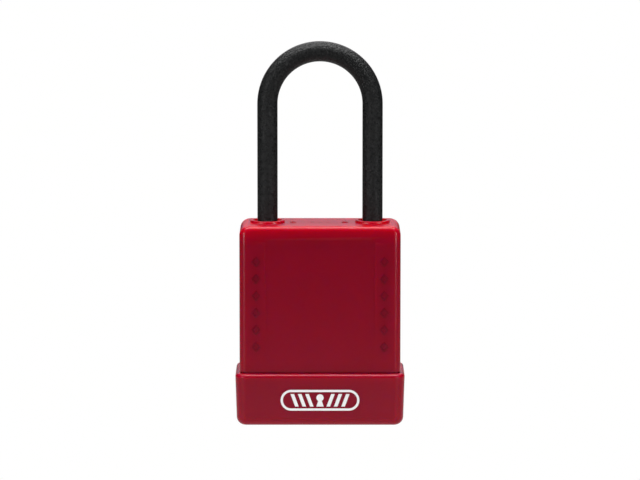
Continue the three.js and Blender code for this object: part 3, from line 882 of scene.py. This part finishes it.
def heel_neck():
    """What is turned away where the retaining pin runs, over the whole lift."""
    gap = NECK["pin_gap"] * MM
    neck_top = pin_high.z + gap
    neck_foot = pin_low.z - gap - LIFT * MM
    neck = pin_low.x - NECK["side_gap"] * MM + LEG_X
    wide = CORE_RADIUS + OVERSHOOT
    ring = lathe(
        "neck_ring",
        [(0, neck_foot), (wide, neck_foot), (wide, neck_top), (0, neck_top)],
        at=(-LEG_X, 0, 0),
    )
    foot, top = neck_foot - OVERSHOOT, neck_top + OVERSHOOT
    keep = lathe("neck_keep", [(0, foot), (neck, foot), (neck, top), (0, top)], at=(-LEG_X, 0, 0))
    return cut(ring, keep)


def ball_notch(side):
    """The notch for a ball: a round-ended channel along the ball's path past the rising leg."""
    radius = (toe_ball_high.x - toe_ball_low.x) / 2 + BALL_NOTCH["gap"] * MM
    middle = (toe_ball_low + toe_ball_high) / 2
    centre = Vector((side * middle.x, 0, middle.z))
    path = Vector((-side * BALL_TRAVEL, 0, -LIFT)).normalized()
    reach = BALL_NOTCH["reach"] * MM
    angles = [math.pi / 2 * i / NOTCH_STEPS for i in range(NOTCH_STEPS + 1)]
    profile = [(radius * math.sin(angle), -radius * math.cos(angle)) for angle in angles]
    profile += [(radius * math.cos(angle), reach + radius * math.sin(angle)) for angle in angles]
    profile[0] = (0, profile[0][1])
    profile[-1] = (0, profile[-1][1])
    notch = lathe("ball_notch", profile, sides=40)
    turn = Vector((0, 0, 1)).rotation_difference(path).to_matrix().to_4x4()
    notch.data.transform(Matrix.Translation(centre) @ turn)
    return notch


# ------------------------------------------------------------------ plug, pins, balls and springs


def plug_face():
    """The brass plug: domed edge, retaining groove, keyway, pin bores and the slot for the cam's tongue."""
    radius = plug_high.x
    groove_low, groove_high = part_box("plug_retaining_pin")
    groove_z = (groove_low.z + groove_high.z) / 2
    groove = PLUG["groove"] * MM
    profile = [(0, plug_low.z)]
    for inset, drop in reversed(list(quarter_round(PLUG["edge"] * MM, 6))):
        profile.append((radius - inset, plug_low.z + drop))
    profile += [
        (radius, groove_z - groove),
        (radius - groove, groove_z - groove),
        (radius - groove, groove_z + groove),
        (radius, groove_z + groove),
        (radius, plug_high.z),
        (0, plug_high.z),
    ]
    plug = lathe("plug_body", profile, sides=96)
    cut(plug, keyway())
    for i in TUMBLERS:
        cut(plug, pin_bore(i))
    wide, deep = CAM_SLOT["half_width"] * MM, CAM_SLOT["half_length"] * MM
    top = plug_high.z + OVERSHOOT
    cut(plug, box("cam_slot", (-wide, -deep, CAM_SLOT["foot"] * MM), (wide, deep, top)))
    finish_edges(plug, width=PLUG_EDGE)
    place(plug, "plug", BRASS, "brass", "cylinder_plug")


def keyway():
    """The slot for the key, with a ward on one side and a groove on the other."""
    half = KEYWAY["half_width"] * MM
    low = plug_low.z - 2 * OVERSHOOT
    top = KEYWAY["top"] * MM
    slot = box("slot", (KEYWAY["left"] * MM, -half, low), (KEYWAY["right"] * MM, half, top))
    ward_low = (WARD["left"] * MM, WARD["from"] * MM, low)
    ward_high = (WARD["right"] * MM, 2 * half, WARD["top"] * MM)
    cut(slot, box("ward", ward_low, ward_high))
    wide = SIDE_GROOVE["half_width"] * MM
    join(slot, box("side_groove", (-wide, -half - SIDE_GROOVE["depth"] * MM, low), (wide, 0, top)))
    return slot


def pin_bore(number):
    """The bore for a key pin, from the side of the plug into the keyway."""
    low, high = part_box(f"key_pin_{number}")
    radius, start, end = (PIN_BORE[name] * MM for name in ("radius", "start", "end"))
    profile = [(0, start), (radius, start), (radius, end), (0, end)]
    return lathe("pin_bore", profile, at=(0, 0, (low.z + high.z) / 2), axis="X", sides=32)


def ball(name, body):
    """A polished ball, as a sphere of even facets."""
    low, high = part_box(name)
    centre = (low + high) / 2
    bm = bmesh.new()
    bmesh.ops.create_icosphere(bm, subdivisions=5, radius=(high.z - low.z) / 2)
    bmesh.ops.translate(bm, vec=centre, verts=bm.verts)
    obj = object_from(bm, name + "_polished")
    smooth(obj)
    place(obj, body, STEEL, "steel", name)


def box_along(node, axis):
    """A node's box seen along an axis: the middle of its near end, its length and its radius."""
    low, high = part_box(node)
    index = "XYZ".index(axis)
    across = 1 if index == 0 else 0
    start = (low + high) / 2
    start[index] = low[index]
    return start, high[index] - low[index], (high[across] - low[across]) / 2


def pin_piece(node, body, axis, ends, material, slot_name):
    """A turned pin along an axis, with each end domed by ends = (first, last)."""
    start, length, radius = box_along(node, axis)
    first, last = ends
    around = list(quarter_round(radius, 6))
    profile = [(0, 0)]
    profile += [(radius - first * inset, first * drop) for inset, drop in reversed(around)]
    profile += [(radius - last * inset, length - last * drop) for inset, drop in around]
    profile.append((0, length))
    obj = lathe(node + "_turned", tidy_profile(profile), at=start, axis=axis, sides=40)
    smooth(obj)
    place(obj, body, material, slot_name, node)


def tidy_profile(profile):
    """Drops repeated points, so that no face has no area."""
    kept = [profile[0]]
    for point in profile[1:]:
        if math.dist(point, kept[-1]) > 1e-7:
            kept.append(point)
    return kept


def coil(node, axis, turns, wire, sides, per_turn):
    """A coil spring in the box of its CAD node, with its end turns closed up."""
    wire *= MM
    start, length, radius = box_along(node, axis)
    length -= 2 * wire
    radius -= wire
    along = Vector((0, 0, 1))
    spokes = [2 * math.pi * i / sides for i in range(sides)]
    rings = []
    steps = turns * per_turn
    for i in range(steps + 1):
        part = i / steps
        angle = 2 * math.pi * turns * part
        out = Vector((math.cos(angle), math.sin(angle), 0))
        centre = out * radius + along * (wire + length * closed_ends(part, turns))
        rings.append([centre + wire * (math.cos(spoke) * out + math.sin(spoke) * along) for spoke in spokes])
    obj = loft(node + "_coil", rings)
    obj.data.transform(Matrix.Translation(start) @ UPRIGHT_TO[axis])
    smooth(obj, angle=60)
    return obj


def closed_ends(part, turns):
    """How far along the spring a point of the wire lies, with one flat turn at each end."""
    flat = 1 / turns
    start = END_PITCH * flat
    if part < flat:
        return start * (part / flat) ** 2
    if part > 1 - flat:
        return 1 - start * ((1 - part) / flat) ** 2
    return start + (1 - 2 * start) * (part - flat) / (1 - 2 * flat)


def inner_pieces():
    """Everything inside the jacket that has a rebuilt look."""
    ball("locking_ball_heel", "heel_ball")
    ball("locking_ball_toe", "toe_ball")
    pin_piece("shackle_retaining_pin", "case", "Y", DOWEL_ENDS, STEEL, "steel")
    pin_piece("plug_retaining_pin", "case", "Y", DOWEL_ENDS, STEEL, "steel")
    for i in TUMBLERS:
        pin_piece(f"key_pin_{i}", f"key_pin_{i}", "X", KEY_PIN_ENDS, BRASS, "brass")
        pin_piece(f"driver_pin_{i}", f"driver_pin_{i}", "X", DRIVER_PIN_ENDS, BRASS, "brass")
        spring(f"tumbler_spring_{i}", "X", TUMBLER_SPRING)
    spring("shackle_spring", "Z", SHACKLE_SPRING)


def spring(node, axis, form):
    """A steel spring between the case and the body that it pushes on."""
    obj = coil(node, axis, **form)
    spring_joint(obj, node, axis)
    dress(obj, STEEL, "steel", node)


def spring_joint(obj, node, axis):
    """Works out a spring's seat on the case and its face on the body that it pushes on, but uses neither,
    and bakes the spring's placing into its mesh.
    """
    low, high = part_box(node)
    middle = (low + high) / 2
    seat = middle.copy()
    face = middle.copy()
    index = "XYZ".index(axis)
    seat[index], face[index] = (low[index], high[index]) if axis == "Z" else (high[index], low[index])
    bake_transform(obj)


def carried_over():
    """The CAD nodes that stay, with a fine bevel and their own metal."""
    looks = {"lock_block": ALLOY, "cam_cover_plate": STEEL, "chamber_strip": BRASS, "lock_cam": STEEL}
    for name, material in looks.items():
        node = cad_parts[name]
        node.data.materials.clear()
        node.data.materials.append(material)
        add_bevel(node, METAL_EDGE, 50, segments=2)


# ------------------------------------------------------------------ stage, light and camera


def area_light(name, at, size, power, tint):
    """A soft rectangular light aimed at the padlock."""
    light = bpy.data.lights.new(name, "AREA")
    light.shape = "RECTANGLE"
    light.size, light.size_y = size
    light.energy = power
    light.color = tint
    obj = bpy.data.objects.new(name, light)
    obj.location = at
    obj.rotation_euler = (Vector(AIM) - Vector(at)).to_track_quat("-Z", "Y").to_euler()
    bpy.context.scene.collection.objects.link(obj)


def studio():
    """A pale floor and softboxes: overhead, behind, a weak key, a strip on each side and a back fill."""
    half = FLOOR["half_width"]
    floor = box("floor", (-half, -half, -FLOOR["thickness"]), (half, half, 0))
    floor.data.materials.append(pale_floor())
    for light in LIGHTS:
        area_light(*light)
    scene = bpy.context.scene
    scene.world = white_world()
    scene.view_settings.view_transform = "Standard"
    scene.view_settings.look = "None"


def white_world():
    """A background that the camera sees as white, and that lights the padlock only faintly."""
    world = bpy.data.worlds.new("studio")
    world.use_nodes = True
    nodes, links = world.node_tree.nodes, world.node_tree.links
    background = nodes["Background"]
    background.inputs["Color"].default_value = colour(1, 1, 1)
    strength = nodes.new("ShaderNodeMapRange")
    strength.inputs["To Min"].default_value = WORLD["fill"]
    strength.inputs["To Max"].default_value = WORLD["seen"]
    links.new(nodes.new("ShaderNodeLightPath").outputs["Is Camera Ray"], strength.inputs["Value"])
    links.new(strength.outputs["Result"], background.inputs["Strength"])
    return world


def camera():
    """A long lens a metre away, a little above, looking at the front."""
    elevation = math.radians(CAMERA["elevation"])
    lens = bpy.data.cameras.new("camera")
    lens.lens = CAMERA["lens_mm"]
    lens.sensor_width = CAMERA["sensor_mm"]
    lens.dof.use_dof = False
    obj = bpy.data.objects.new("camera", lens)
    offset = Vector((0, -math.cos(elevation), math.sin(elevation))) * CAMERA["distance"]
    obj.location = Vector(CAMERA["target"]) + offset
    obj.rotation_euler = (-offset).to_track_quat("-Z", "Y").to_euler()
    bpy.context.scene.collection.objects.link(obj)
    bpy.context.scene.camera = obj


camera()
studio()
jacket_shell()
collar_cap()
badge()
sleeve_skin()
shackle_rod()
plug_face()
inner_pieces()
carried_over()
